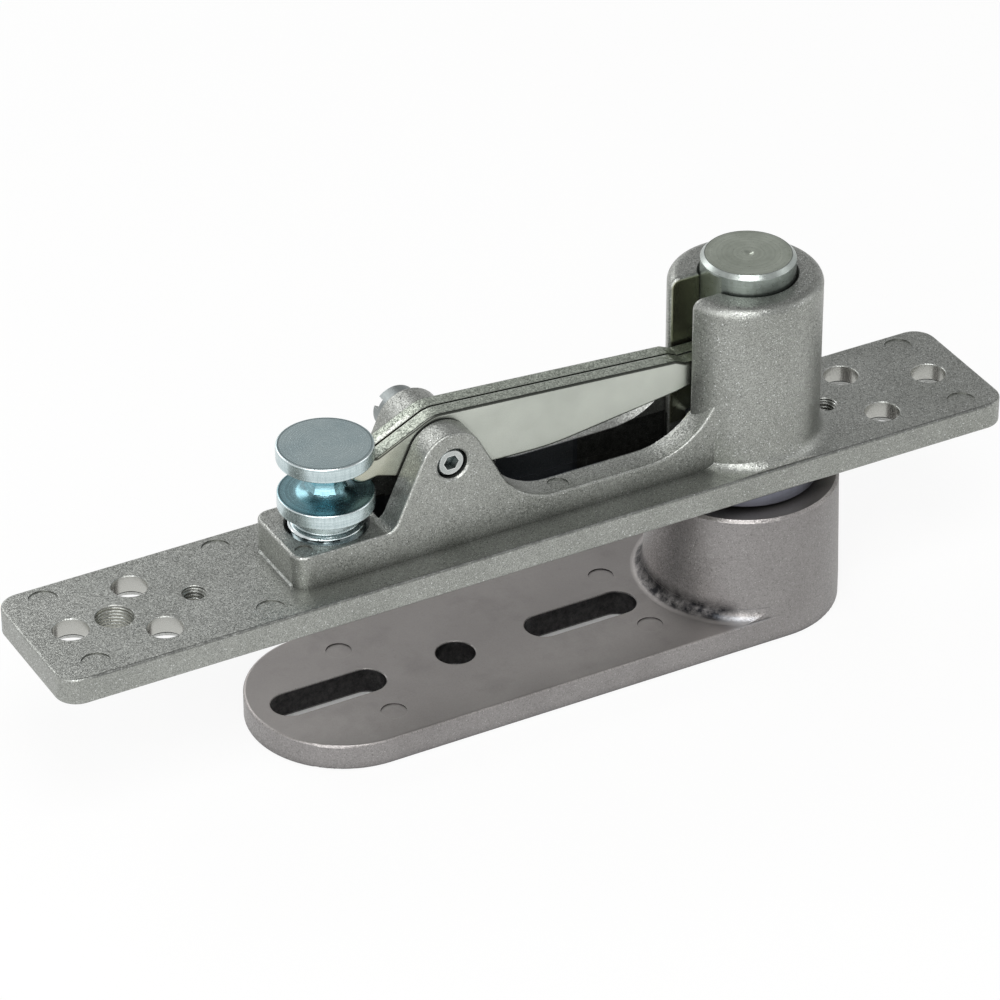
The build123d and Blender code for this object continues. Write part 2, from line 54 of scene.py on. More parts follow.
def roundedPath(corners, radii, closed, arcSteps=14):
    # Each corner p is replaced by the arc that touches both its sides at the distance
    # t = radius * tan(turn / 2). The arc is the rational quadratic curve
    # ((1-s)^2 a + 2 s (1-s) w p + s^2 b) / ((1-s)^2 + 2 s (1-s) w + s^2), w = cos(turn / 2).
    p = np.array(corners, float)
    radii = np.array(radii, float)
    before = p - np.roll(p, 1, axis=0)
    after = np.roll(p, -1, axis=0) - p
    if not closed:
        before[0] = after[0]
        after[-1] = before[-1]
    u = before / np.linalg.norm(before, axis=1)[:, None]
    v = after / np.linalg.norm(after, axis=1)[:, None]
    half = np.arccos(np.clip((u * v).sum(1), -1, 1)) / 2
    reach = (radii * np.tan(half))[:, None]
    s = np.linspace(0, 1, arcSteps)[None, :, None]
    w = np.cos(half)[:, None, None]
    a, b, c = (p - u * reach)[:, None], (p + v * reach)[:, None], p[:, None]
    top = (1 - s) ** 2 * a + 2 * s * (1 - s) * w * c + s ** 2 * b
    path = (top / ((1 - s) ** 2 + 2 * s * (1 - s) * w + s ** 2)).reshape(-1, 2)
    step = np.linalg.norm(np.roll(path, -1, axis=0) - path, axis=1)
    return path[step > 1e-6] if closed else path[np.append(step[:-1] > 1e-6, True)]


def refine(path, spacing, closed):
    # Keeps the path's own points and adds points between them, at most spacing apart along it.
    ring = np.vstack([path, path[:1]]) if closed else path
    length = np.append(0, np.cumsum(np.linalg.norm(np.diff(ring, axis=0), axis=1)))
    even = np.linspace(0, length[-1], int(length[-1] / spacing) + 2)
    near = np.abs(even[:, None] - length[None, :]).min(1) > 0.3 * spacing
    at = np.sort(np.concatenate([length, even[near]]))
    fine = np.stack([np.interp(at, length, ring[:, k]) for k in (0, 1)], axis=1)
    return fine[:-1] if closed else fine


def gridQuads(rows, columns):
    # Faces of a grid whose columns close into a ring: (row, col) (row, col+1) (row+1, col+1) (row+1, col).
    row, col = np.meshgrid(np.arange(rows - 1), np.arange(columns), indexing="ij")
    right = (col + 1) % columns
    quads = np.stack([row * columns + col, row * columns + right,
                      (row + 1) * columns + right, (row + 1) * columns + col], axis=-1)
    return quads.reshape(-1, 4)


def fillCaps(mesh, depths):
    # closes the flat faces that stand open at the given y, in millimetres, and turns all faces outwards
    work = bmesh.new()
    work.from_mesh(mesh)
    for depth in depths:
        openEdges = [edge for edge in work.edges
                     if edge.is_boundary and abs(edge.verts[0].co.y - depth * mm) < 0.001 * mm]
        bmesh.ops.triangle_fill(work, use_beauty=True, use_dissolve=False, edges=openEdges)
    bmesh.ops.recalc_face_normals(work, faces=work.faces)
    work.to_mesh(mesh)
    work.free()


def makePiece(name, points, faces, body, material, sharpAngle=35, capDepths=()):
    # points in millimetres and faces become a smooth piece that rides on its body
    mesh = bpy.data.meshes.new(name)
    mesh.from_pydata((np.asarray(points) * mm).tolist(), [], faces)
    mesh.validate()
    if len(capDepths):
        fillCaps(mesh, capDepths)
    mesh.polygons.foreach_set("use_smooth", np.ones(len(mesh.polygons), bool))
    mesh.set_sharp_from_angle(angle=math.radians(sharpAngle))
    mesh.materials.append(material)
    piece = bpy.data.objects.new(name, mesh)
    bpy.context.scene.collection.objects.link(piece)
    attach(piece, body)
    return piece


def newMaterial(name):
    material = bpy.data.materials.new(name)
    material.use_nodes = True
    material.node_tree.nodes.clear()
    return material, material.node_tree


def add(tree, kind, sockets=None, **settings):
    # One node; a socket's value is a number, a colour or another node's output.
    node = tree.nodes.new("ShaderNode" + kind)
    for key, value in settings.items():
        setattr(node, key, value)
    for key, value in (sockets or {}).items():
        if isinstance(value, bpy.types.NodeSocket):
            tree.links.new(value, node.inputs[key])
        else:
            node.inputs[key].default_value = value
    return node


def maths(tree, operation, a, b=0.0, clamp=False):
    return add(tree, "Math", {0: a, 1: b}, operation=operation, use_clamp=clamp).outputs[0]


def times(tree, a, b):
    return maths(tree, "MULTIPLY", a, b)


def blend(tree, factor, a, b, mode="MIX"):
    # Mix of two colours; grey numbers are written as colours here.
    a = (a, a, a, 1) if isinstance(a, float) else a
    b = (b, b, b, 1) if isinstance(b, float) else b
    node = add(tree, "Mix", data_type="RGBA", blend_type=mode, clamp_factor=True)
    for socket, value in ((node.inputs[0], factor), (node.inputs[6], a), (node.inputs[7], b)):
        if isinstance(value, bpy.types.NodeSocket):
            tree.links.new(value, socket)
        else:
            socket.default_value = value if socket != node.inputs[0] else float(value)
    return node.outputs[2]


def ramp(tree, value, low, high, lowOut=0.0, highOut=1.0):
    node = add(tree, "MapRange", {"Value": value, "From Min": low, "From Max": high,
                                  "To Min": lowOut, "To Max": highOut}, clamp=True)
    return node.outputs[0]


def noise(tree, place, size, detail=3.0, roughness=0.55):
    # size is the width of the pattern's features, in millimetres
    node = add(tree, "TexNoise", {"Vector": place, "Scale": 1 / (size * mm), "Detail": detail,
                                  "Roughness": roughness})
    return node.outputs[0]


def cells(tree, place, size):
    # random colour of each little crystal
    node = add(tree, "TexVoronoi", {"Vector": place, "Scale": 1 / (size * mm)})
    return node.outputs["Color"]


def surroundings(tree, radius, crevice):
    # wear: 0 on flat faces and near 1 on sharp edges that stand out; hollow: 1 in the open, 0 in a crevice
    bevel = add(tree, "Bevel", {"Radius": radius * mm}, samples=6)
    trueNormal = add(tree, "NewGeometry").outputs["Normal"]
    dot = add(tree, "VectorMath", {0: bevel.outputs[0], 1: trueNormal}, operation="DOT_PRODUCT")
    bend = ramp(tree, maths(tree, "SUBTRACT", 1.0, dot.outputs["Value"]), 0.02, 0.16)
    hollow = add(tree, "AmbientOcclusion", {"Distance": crevice * mm}, samples=8).outputs["AO"]
    wear = times(tree, bend, ramp(tree, hollow, 0.66, 0.86))
    return wear, hollow, trueNormal


def insideBox(tree, place, box, soft=0.1):
    # 1 inside the box and 0 outside, with a soft border
    split = add(tree, "SeparateXYZ", {0: place})
    inside = 1.0
    for axis in range(3):
        low, high = box[0][axis] * mm, box[1][axis] * mm
        off = maths(tree, "ABSOLUTE", maths(tree, "SUBTRACT", split.outputs[axis], (low + high) / 2))
        half = (high - low) / 2
        inside = times(tree, inside, ramp(tree, off, half + soft * mm, half - soft * mm))
    return inside


def insideAny(tree, place, boxes):
    mask = 0.0
    for box in boxes:
        mask = maths(tree, "MAXIMUM", mask, insideBox(tree, place, box))
    return mask


def bump(tree, height, strength, depth, normal=None):
    sockets = {"Height": height, "Strength": strength, "Distance": depth * mm}
    if normal is not None:
        sockets["Normal"] = normal
    return add(tree, "Bump", sockets).outputs[0]


def leaning(tree, normal, tint, amount):
    # the normal, pushed a little towards the crystal's own random direction
    lean = add(tree, "VectorMath", {0: tint, 1: (0.5, 0.5, 0.5)}, operation="SUBTRACT").outputs[0]
    lean = add(tree, "VectorMath", {0: lean, "Scale": amount}, operation="SCALE").outputs[0]
    pushed = add(tree, "VectorMath", {0: normal, 1: lean}, operation="ADD").outputs[0]
    return add(tree, "VectorMath", {0: pushed}, operation="NORMALIZE").outputs[0]


def finishMetal(tree, colour, roughness, normal, metallic):
    sockets = {"Base Color": colour, "Roughness": roughness, "Metallic": metallic, "Normal": normal}
    shader = add(tree, "BsdfPrincipled", sockets)
    add(tree, "OutputMaterial", {"Surface": shader.outputs[0]})


castMarks = {
    "plateTop": 40.3, "topSoft": 0.4,    # the calm sides start this far under the plate's top
    "brokenSize": 0.9, "mottleSize": 1.4, "bandSize": 2.4, "bandSoft": 1.4, "glintSoft": 2.0,
    "calmWalls": 0.85, "gloss": 0.12,
}


def castAlloy(name, look):
    # Blasted die casting: small crystals that each lean their own way, sparse bright flecks, cloudy tone,
    # edges rubbed bright, painted shade in crevices, on upright faces and in boxes, and boxes where the walls
    # are smooth.
    material, tree = newMaterial(name)
    place = add(tree, "TexCoord").outputs["Object"]
    wear, hollow, trueNormal = surroundings(tree, look["edge"], look["crevice"])
    up = add(tree, "SeparateXYZ", {0: trueNormal}).outputs[2]
    upright = ramp(tree, maths(tree, "ABSOLUTE", up), 0.5, 0.3)
    calm = times(tree, ramp(tree, up, 0.8, 0.97), look["calmTop"])
    marks = castMarks
    height = add(tree, "SeparateXYZ", {0: place}).outputs[2]
    underTop = ramp(tree, height, marks["plateTop"] * mm, (marks["plateTop"] - marks["topSoft"]) * mm)
    calm = maths(tree, "MAXIMUM", calm, times(tree, times(tree, upright, underTop), look["calmSide"]))
    slotWall = insideAny(tree, place, look["slotBoxes"])
    drilled = times(tree, upright, insideAny(tree, place, look["drilledBoxes"]))
    smoothWall = maths(tree, "MAXIMUM", slotWall, drilled)
    calm = maths(tree, "MAXIMUM", calm, times(tree, smoothWall, marks["calmWalls"]))
    grit = maths(tree, "SUBTRACT", 1.0, calm)

    tint = cells(tree, place, look["crystal"])
    split = add(tree, "SeparateColor", {0: tint})
    grain = noise(tree, place, look["grain"], 4.0, 0.65)
    normal = bump(tree, grain, times(tree, grit, 0.6), look["grainDepth"])
    normal = bump(tree, noise(tree, place, look["swell"], 2.0), 0.4, look["swellDepth"], normal)
    normal = leaning(tree, normal, tint, times(tree, grit, look["lean"]))

    cloud = noise(tree, place, look["cloud"], 4.0)
    colour = blend(tree, ramp(tree, cloud, 0.3, 0.7), look["deep"], look["light"])
    # painted shade: upright faces are painted darker than the tops, as less light falls on them
    colour = blend(tree, upright, colour, blend(tree, 1.0, colour, look["sideShade"], "MULTIPLY"))
    spread = times(tree, maths(tree, "SUBTRACT", split.outputs[1], 0.5), times(tree, grit, look["spread"]))
    colour = blend(tree, 1.0, colour, maths(tree, "ADD", 1.0, spread), "MULTIPLY")
    fleck = times(tree, ramp(tree, split.outputs[0], 0.965, 0.99), times(tree, grit, look["fleck"]))
    colour = blend(tree, fleck, colour, look["shine"])
    pit = times(tree, ramp(tree, split.outputs[2], 0.07, 0.02), times(tree, grit, look["pit"]))
    colour = blend(tree, pit, colour, look["dark"])
    stain = ramp(tree, noise(tree, place, look["stain"], 5.0, 0.6), 0.52, 0.75, 0.0, look["stainAmount"])
    colour = blend(tree, stain, colour, look["dark"])
    broken = ramp(tree, noise(tree, place, marks["brokenSize"], 3.0), 0.3, 0.6, 0.35, 1.0)
    edgeBright = times(tree, wear, broken)
    glow = insideAny(tree, place, look["brightBoxes"])
    edgeBright = maths(tree, "MAXIMUM", edgeBright, times(tree, glow, broken))
    colour = blend(tree, slotWall, colour, look["slotWall"])
    colour = blend(tree, times(tree, drilled, 0.8), colour, look["drilled"])
    colour = blend(tree, times(tree, edgeBright, look["edgeBright"]), colour, look["shine"])
    # painted shade in crevices: ambient occlusion darkens the hollows
    creviceShade = ramp(tree, hollow, 0.72, 0.3, 0.0, look["creviceShade"])
    colour = blend(tree, times(tree, creviceShade, maths(tree, "SUBTRACT", 1.0, glow)), colour, look["paintedDark"])
    mottle = ramp(tree, noise(tree, place, marks["mottleSize"], 4.0, 0.65), 0.3, 0.7, 0.72, 1.0)
    # painted shade: the walls of the channel and of the arm's slots are painted near black where they lie in
    # shade
    paintedShade = times(tree, insideAny(tree, place, look["shadeBoxes"]), mottle)
    colour = blend(tree, times(tree, paintedShade, look["shadeAmount"]), colour, look["paintedDark"])
    # painted shade: the middle of the lever channel is painted dim
    colour = blend(tree, times(tree, insideAny(tree, place, look["dimBoxes"]), 0.8), colour, look["dim"])
    if look["footBox"]:
        # painted dark reflection where a foot fillet starts to lean out, and a painted cold highlight below
        # it
        rough = ramp(tree, noise(tree, place, marks["bandSize"], 5.0, 0.6), 0.3, 0.6, 0.5, 1.0)
        foot = insideBox(tree, place, look["footBox"], marks["bandSoft"])
        band = times(tree, ramp(tree, up, 0.99, 0.88), foot)
        colour = blend(tree, times(tree, band, rough), colour, look["paintedDark"])
        cold = insideBox(tree, place, look["shineBox"], marks["glintSoft"])
        glint = times(tree, ramp(tree, up, 0.5, 0.8), cold)
        colour = blend(tree, times(tree, times(tree, glint, rough), 0.5), colour, look["footShine"])
    # painted dark reflection along the plate's front top edge
    edgeLine = times(tree, insideAny(tree, place, look["lineBoxes"]), broken)
    colour = blend(tree, times(tree, edgeLine, 0.6), colour, look["dark"])

    roughness = ramp(tree, cloud, 0.3, 0.7, look["roughness"][0], look["roughness"][1])
    for shiny in (fleck, edgeBright, smoothWall):
        less = times(tree, shiny, marks["gloss"])
        roughness = maths(tree, "SUBTRACT", roughness, less, clamp=shiny is smoothWall)
    finishMetal(tree, colour, roughness, normal, look["metallic"])
    return material


turnedMarks = {"lineOuter": 0.20, "lineInner": 0.06, "grooveLines": 0.45, "markStretch": 0.12}


def turnedPlate(name, look):
    # Turned and zinc plated steel: fine tool rings round its axis, cross marks on the rims,
    # clouded plating, a painted dark reflection just inside the rim, bright worn edges and painted highlights
    # on the chamfers.
    # Ring pattern: noise of (distance from the axis, height), so it is the same all the way round.
    material, tree = newMaterial(name)
    place = add(tree, "TexCoord").outputs["Object"]
    shift = tuple(-x * mm for x in look["axis"])
    centred = add(tree, "VectorMath", {0: place, 1: shift}, operation="ADD").outputs[0]
    split = add(tree, "SeparateXYZ", {0: centred})
    wear, hollow, trueNormal = surroundings(tree, look["edge"], look["crevice"])
    facing = add(tree, "SeparateXYZ", {0: trueNormal})
    across, along = (1, 2) if look["along"] == "Z" else (2, 1)
    a, b, h = split.outputs[0], split.outputs[across], split.outputs[along]
    lean = maths(tree, "ABSOLUTE", facing.outputs[along])
    onEnd = ramp(tree, lean, 0.6, 0.9)
    onRim = maths(tree, "SUBTRACT", 1.0, onEnd)
    chamfer = times(tree, ramp(tree, lean, 0.3, 0.5), ramp(tree, lean, 0.95, 0.85))
    out = maths(tree, "SQRT", maths(tree, "ADD", times(tree, a, a), times(tree, b, b)))
    ringPlace = add(tree, "CombineXYZ", {0: out, 1: h, 2: 0.0}).outputs[0]
    rings = noise(tree, ringPlace, look["ring"], 3.0, 0.6)
    turn = times(tree, maths(tree, "ARCTAN2", b, a), look["radius"] * mm)
    stretched = times(tree, h, turnedMarks["markStretch"])
    markPlace = add(tree, "CombineXYZ", {0: turn, 1: stretched, 2: 0.0}).outputs[0]
    marks = noise(tree, markPlace, look["mark"], 3.0, 0.6)
    normal = bump(tree, rings, look["ringStrength"], look["ringDepth"])
    normal = bump(tree, marks, times(tree, onRim, 0.5), look["markDepth"], normal)
    mottle = noise(tree, place, look["mottle"], 5.0, 0.62)
    normal = bump(tree, mottle, 0.35, look["mottleDepth"], normal)

    cloud = ramp(tree, noise(tree, place, look["cloud"], 4.0), 0.32, 0.68)
    colour = blend(tree, cloud, look["deep"], look["light"])
    # painted light and shade: the side faces take the rim colour, lighter or darker than the ends
    colour = blend(tree, times(tree, onRim, look["rimAmount"]), colour, look["rim"])
    colour = blend(tree, ramp(tree, rings, 0.35, 0.75, 0.0, look["ringTone"]), colour, look["dark"])
    streak = times(tree, onRim, ramp(tree, marks, 0.45, 0.7, 0.0, look["markTone"]))
    colour = blend(tree, streak, colour, look["dark"])
    speck = ramp(tree, noise(tree, place, look["speck"], 2.0), 0.62, 0.74, 0.0, look["speckAmount"])
    colour = blend(tree, speck, colour, look["dark"])
    # painted dark reflection: a dark line on the end faces, just inside the rim's rounding
    off = maths(tree, "ABSOLUTE", maths(tree, "SUBTRACT", out, look["edgeLine"] * mm))
    outer, inner = turnedMarks["lineOuter"] * mm, turnedMarks["lineInner"] * mm
    line = times(tree, onEnd, ramp(tree, off, outer, inner, 0.0, look["lineAmount"]))
    colour = blend(tree, line, colour, look["paintedDark"])
    # painted highlight on the chamfers, added to the worn edges
    bright = maths(tree, "MAXIMUM", wear, times(tree, chamfer, ramp(tree, hollow, 0.5, 0.75)))
    # painted shade: the groove between the spool's discs is painted a darker teal
    if look["grooveShadeBox"]:
        groove = insideBox(tree, place, look["grooveShadeBox"])
        colour = blend(tree, groove, colour, blend(tree, 1.0, colour, look["tint"], "MULTIPLY"))
        lines = noise(tree, ringPlace, turnedMarks["grooveLines"], 2.0)
        lines = ramp(tree, lines, 0.4, 0.65, 0.0, 0.45)
        colour = blend(tree, times(tree, groove, lines), colour, look["dark"])
        bright = times(tree, bright, maths(tree, "SUBTRACT", 1.0, groove))
    colour = blend(tree, times(tree, bright, look["edgeBright"]), colour, look["shine"])
    # painted shade in crevices, from ambient occlusion
    colour = blend(tree, ramp(tree, hollow, 0.75, 0.25, 0.0, look["creviceShade"]), colour, look["paintedDark"])

    roughness = ramp(tree, mottle, 0.3, 0.7, look["roughness"][0], look["roughness"][1])
    finishMetal(tree, colour, roughness, normal, look["metallic"])
    return material


def blankedPlate(name, look):
    # Blanked and zinc plated sheet: smooth faces with faint rolling lines along X, a broken and
    # grainy edge, a painted dark reflection on the rolled outer corner and painted black shade in the joint
    # of the two plates.
    material, tree = newMaterial(name)
    place = add(tree, "TexCoord").outputs["Object"]
    split = add(tree, "SeparateXYZ", {0: place})
    stretched = add(tree, "CombineXYZ", {0: times(tree, split.outputs[0], look["rollingStretch"]),
                                         1: split.outputs[1], 2: split.outputs[2]}).outputs[0]
    rolling = noise(tree, stretched, look["rolling"], 4.0, 0.6)
    wear, hollow, trueNormal = surroundings(tree, look["edge"], look["crevice"])
    side = maths(tree, "ABSOLUTE", add(tree, "SeparateXYZ", {0: trueNormal}).outputs[1])
    torn = ramp(tree, side, 0.3, 0.1)
    fromJoint = maths(tree, "ABSOLUTE", split.outputs[1])
    tint = cells(tree, place, look["crystal"])
    crystal = add(tree, "SeparateColor", {0: tint})
    grain = noise(tree, place, look["grain"], 4.0, 0.7)
    normal = bump(tree, rolling, 0.3, look["rollingDepth"])
    normal = bump(tree, grain, times(tree, torn, 0.6), look["grainDepth"], normal)
    normal = leaning(tree, normal, tint, times(tree, torn, look["lean"]))

    cloud = ramp(tree, noise(tree, place, look["cloud"], 4.0), 0.32, 0.68)
    colour = blend(tree, cloud, look["deep"], look["light"])
    nearNose = ramp(tree, split.outputs[0], look["yellowFrom"] * mm, look["yellowTo"] * mm, 0.0, 0.8)
    yellow = times(tree, nearNose, ramp(tree, cloud, 0.2, 0.8, 0.5, 1.0))
    colour = blend(tree, yellow, colour, look["yellow"])
    edgeColour = blend(tree, ramp(tree, grain, 0.35, 0.65), look["tornDark"], look["tornLight"])
    spread = times(tree, maths(tree, "SUBTRACT", crystal.outputs[1], 0.5), look["spread"])
    edgeColour = blend(tree, 1.0, edgeColour, maths(tree, "ADD", 1.0, spread), "MULTIPLY")
    colour = blend(tree, torn, colour, edgeColour)
    # painted highlight on the rear plate's edge near the nose
    paintedHighlight = insideAny(tree, place, look["paintedHighlightBoxes"])
    colour = blend(tree, times(tree, paintedHighlight, 0.5), colour, look["shine"])
    colour = blend(tree, times(tree, wear, look["edgeBright"]), colour, look["shine"])
    # painted dark reflection on the rolled outer corner
    outer = ramp(tree, fromJoint, look["outerFrom"] * mm, look["outerTo"] * mm)
    roll = times(tree, ramp(tree, side, 0.10, 0.22), ramp(tree, side, 0.985, 0.93))
    colour = blend(tree, times(tree, times(tree, outer, roll), look["rollAmount"]), colour, look["paintedDark"])
    # painted shade in crevices, from ambient occlusion
    colour = blend(tree, ramp(tree, hollow, 0.7, 0.2, 0.0, look["creviceShade"]), colour, look["paintedDark"])
    # painted shade: black in the joint between the two plates, wider than the real gap
    joint = ramp(tree, fromJoint, look["jointOuter"] * mm, look["jointInner"] * mm)
    colour = blend(tree, joint, colour, look["paintedDark"])

    roughness = ramp(tree, torn, 0.0, 1.0, look["roughness"][0], look["roughness"][1])
    roughness = maths(tree, "ADD", roughness, times(tree, joint, 0.3), clamp=True)
    finishMetal(tree, colour, roughness, normal, look["metallic"])
    return material


frameLook = {
    "deep": (0.30, 0.31, 0.29, 1), "light": (0.365, 0.375, 0.355, 1), "shine": (0.85, 0.87, 0.87, 1),
    "dark": (0.10, 0.102, 0.10, 1), "paintedDark": (0.022, 0.022, 0.019, 1), "sideShade": (0.94, 0.94, 0.93, 1),
    "slotWall": (0.26, 0.27, 0.185, 1), "drilled": (0.52, 0.52, 0.49, 1),
    "crystal": 0.17, "lean": 0.26, "grain": 0.3, "grainDepth": 0.02, "swell": 7.0, "swellDepth": 0.08,
    "spread": 0.62, "fleck": 0.75, "pit": 0.7, "cloud": 18.0, "stain": 6.0, "stainAmount": 0.12,
    "edge": 0.3, "edgeBright": 0.35, "crevice": 5.0, "creviceShade": 0.75, "roughness": (0.34, 0.41), "metallic": 0.94,
    "calmTop": 0.0, "calmSide": 0.15, "shadeAmount": 0.9,
    "shadeBoxes": [((17.0, -4.4, 36.0), (38.9, 6.25, 46.4)), ((-36.0, -5.2, 36.0), (-28.0, 6.2, 47.5))],
    "dimBoxes": [((-33.5, -4.4, 36.0), (18.0, 6.25, 46.9))], "dim": (0.085, 0.095, 0.11, 1),
    "footBox": None,
    "slotBoxes": [((37.3, -4.35, 44.0), (46.0, 4.35, 79.0))],
    "drilledBoxes": [((-108.5, -15.6, 33.0), (108.5, 15.6, 40.15))],
    "brightBoxes": [((-55.6, -7.5, 40.0), (-54.9, 7.5, 40.75)), ((20.1, 4.0, 38.0), (20.4, 6.4, 46.6)),
                    ((29.6, 4.0, 38.0), (29.8, 6.4, 45.4))],
    "lineBoxes": [((-104.0, -17.1, 39.8), (106.0, -16.55, 40.4))],
}
threadLook = dict(frameLook, creviceShade=0.3, edgeBright=0.95, edge=0.15, drilled=(0.34, 0.34, 0.29, 1))
armLook = {
    "deep": (0.315, 0.298, 0.290, 1), "light": (0.375, 0.356, 0.346, 1), "shine": (0.62, 0.61, 0.60, 1),
    "dark": (0.12, 0.113, 0.11, 1), "paintedDark": (0.013, 0.013, 0.015, 1), "sideShade": (0.79, 0.80, 0.81, 1),
    "slotWall": (0.2, 0.19, 0.19, 1), "drilled": (0.3, 0.29, 0.29, 1),
    "crystal": 0.22, "lean": 0.22, "grain": 0.4, "grainDepth": 0.02, "swell": 9.0, "swellDepth": 0.08,
    "spread": 0.36, "fleck": 0.35, "pit": 0.6, "cloud": 22.0, "stain": 9.0, "stainAmount": 0.22,
    "edge": 0.3, "edgeBright": 0.3, "crevice": 5.0, "creviceShade": 0.7, "roughness": (0.38, 0.46), "metallic": 0.9,
    "calmTop": 0.85, "calmSide": 0.2, "shadeAmount": 0.95, "dimBoxes": [], "dim": (0.1, 0.1, 0.1, 1),
    "footBox": ((24.0, -19.0, 5.2), (43.0, 17.0, 9.6)), "footShine": (0.62, 0.68, 0.76, 1),
    "shineBox": ((41.0, -21.2, 5.6), (50.0, -13.5, 8.2)),
    "shadeBoxes": [((-57.2, -4.6, 0.4), (-30.6, 4.6, 5.65)), ((2.4, -4.6, 0.4), (29.0, 4.6, 5.65)),
                  ((-18.8, -4.6, 0.4), (-9.6, 4.6, 5.65))],
    "slotBoxes": [], "drilledBoxes": [], "brightBoxes": [], "lineBoxes": [],
}
spoolLook = {
    "axis": (-43.5, 0, 0), "along": "Z", "radius": 10.0,
    "ring": 0.3, "ringStrength": 0.4, "ringDepth": 0.03,
    "mark": 0.5, "markDepth": 0.04, "markTone": 0.25, "rim": (0.70, 0.80, 0.81, 1), "rimAmount": 0.7,
    "mottle": 0.7, "mottleDepth": 0.008, "cloud": 7.0, "speck": 0.5, "speckAmount": 0.25, "ringTone": 0.4,
    "grooveShadeBox": ((-53.4, -9.9, 55.42), (-33.6, 9.9, 63.25)), "tint": (0.48, 0.72, 0.79, 1),
    "deep": (0.47, 0.575, 0.595, 1), "light": (0.57, 0.67, 0.68, 1), "shine": (0.90, 0.96, 0.97, 1),
    "dark": (0.12, 0.19, 0.21, 1), "paintedDark": (0.010, 0.026, 0.033, 1), "edge": 0.25, "edgeBright": 0.8,
    "edgeLine": 9.45, "lineAmount": 0.55,
    "crevice": 4.0, "creviceShade": 0.55, "roughness": (0.20, 0.30), "metallic": 0.97,
}
pinLook = {
    "axis": (54.8, 0, 0), "along": "Z", "radius": 10.0,
    "ring": 0.4, "ringStrength": 0.4, "ringDepth": 0.03,
    "mark": 0.8, "markDepth": 0.02, "markTone": 0.2, "rim": (0.24, 0.28, 0.28, 1), "rimAmount": 0.7,
    "mottle": 0.9, "mottleDepth": 0.02, "cloud": 4.5, "speck": 0.5, "speckAmount": 0.55, "ringTone": 0.35,
    "grooveShadeBox": None,
    "deep": (0.39, 0.425, 0.365, 1), "light": (0.52, 0.56, 0.49, 1), "shine": (0.86, 0.92, 0.94, 1),
    "dark": (0.17, 0.19, 0.15, 1), "paintedDark": (0.012, 0.016, 0.020, 1), "edge": 0.22, "edgeBright": 0.25,
    "edgeLine": 9.1, "lineAmount": 0.6,
    "crevice": 3.0, "creviceShade": 0.6, "roughness": (0.26, 0.36), "metallic": 0.95,
}
boltLook = {
    "axis": (-19.8, 0, 59.9), "along": "Y", "radius": 5.0,
    "ring": 0.25, "ringStrength": 0.4, "ringDepth": 0.02,
    "mark": 0.5, "markDepth": 0.02, "markTone": 0.15, "rim": (0.38, 0.42, 0.41, 1), "rimAmount": 0.7,
    "mottle": 0.6, "mottleDepth": 0.02, "cloud": 5.0, "speck": 0.5, "speckAmount": 0.3, "ringTone": 0.15,
    "grooveShadeBox": None,
    "deep": (0.40, 0.43, 0.42, 1), "light": (0.54, 0.56, 0.55, 1), "shine": (0.92, 0.94, 0.93, 1),
    "dark": (0.08, 0.13, 0.14, 1), "paintedDark": (0.006, 0.022, 0.026, 1), "edge": 0.35, "edgeBright": 1.0,
    "edgeLine": 20.0, "lineAmount": 0.0,
    "crevice": 2.5, "creviceShade": 0.9, "roughness": (0.22, 0.32), "metallic": 0.95,
}
# painted shade: the pivot screw's head is a darker copy of the bolt's zinc, as it sits in less light
shadedHeadLook = dict(boltLook, deep=(0.25, 0.265, 0.26, 1), light=(0.34, 0.355, 0.35, 1),
                rim=(0.26, 0.28, 0.28, 1), edgeBright=0.45, mottleDepth=0.04, roughness=(0.34, 0.42))
leverLook = {
    "rolling": 0.8, "rollingDepth": 0.02, "rollingStretch": 0.06, "crystal": 0.24, "lean": 0.36,
    "grain": 0.35, "grainDepth": 0.06, "cloud": 9.0, "deep": (0.445, 0.47, 0.425, 1),
    "light": (0.52, 0.545, 0.495, 1), "shine": (0.92, 0.94, 0.88, 1),
    "yellow": (0.50, 0.49, 0.37, 1), "yellowFrom": -25, "yellowTo": -37,    # towards the lever's nose
    "tornDark": (0.26, 0.29, 0.25, 1), "tornLight": (0.46, 0.49, 0.43, 1),
    "outerFrom": 3.1, "outerTo": 3.25, "jointOuter": 0.34, "jointInner": 0.22,    # from the joint
    "spread": 0.7, "paintedDark": (0.012, 0.014, 0.010, 1), "rollAmount": 0.85,
    "edge": 0.2, "edgeBright": 0.5, "crevice": 3.0, "creviceShade": 0.7, "roughness": (0.26, 0.38), "metallic": 0.95,
    "paintedHighlightBoxes": [((-37.0, 0.3, 56.0), (-24.0, 1.5, 72.0))],
}
flangeLook = {
    "axis": (54.8, 0, 0), "along": "Z", "radius": 16.0,
    "ring": 0.5, "ringStrength": 0.25, "ringDepth": 0.02,
    "mark": 1.5, "markDepth": 0.01, "markTone": 0.1, "rim": (0.10, 0.10, 0.125, 1), "rimAmount": 0.3,
    "mottle": 1.2, "mottleDepth": 0.02, "cloud": 9.0, "speck": 0.7, "speckAmount": 0.1, "ringTone": 0.1,
    "grooveShadeBox": None,
    "deep": (0.20, 0.21, 0.25, 1), "light": (0.26, 0.27, 0.32, 1), "shine": (0.5, 0.53, 0.60, 1),
    "dark": (0.04, 0.042, 0.05, 1), "paintedDark": (0.012, 0.012, 0.015, 1), "edge": 0.3, "edgeBright": 0.5,
    "edgeLine": 50.0, "lineAmount": 0.0,
    "crevice": 4.0, "creviceShade": 0.5, "roughness": (0.3, 0.42), "metallic": 0.85,
}
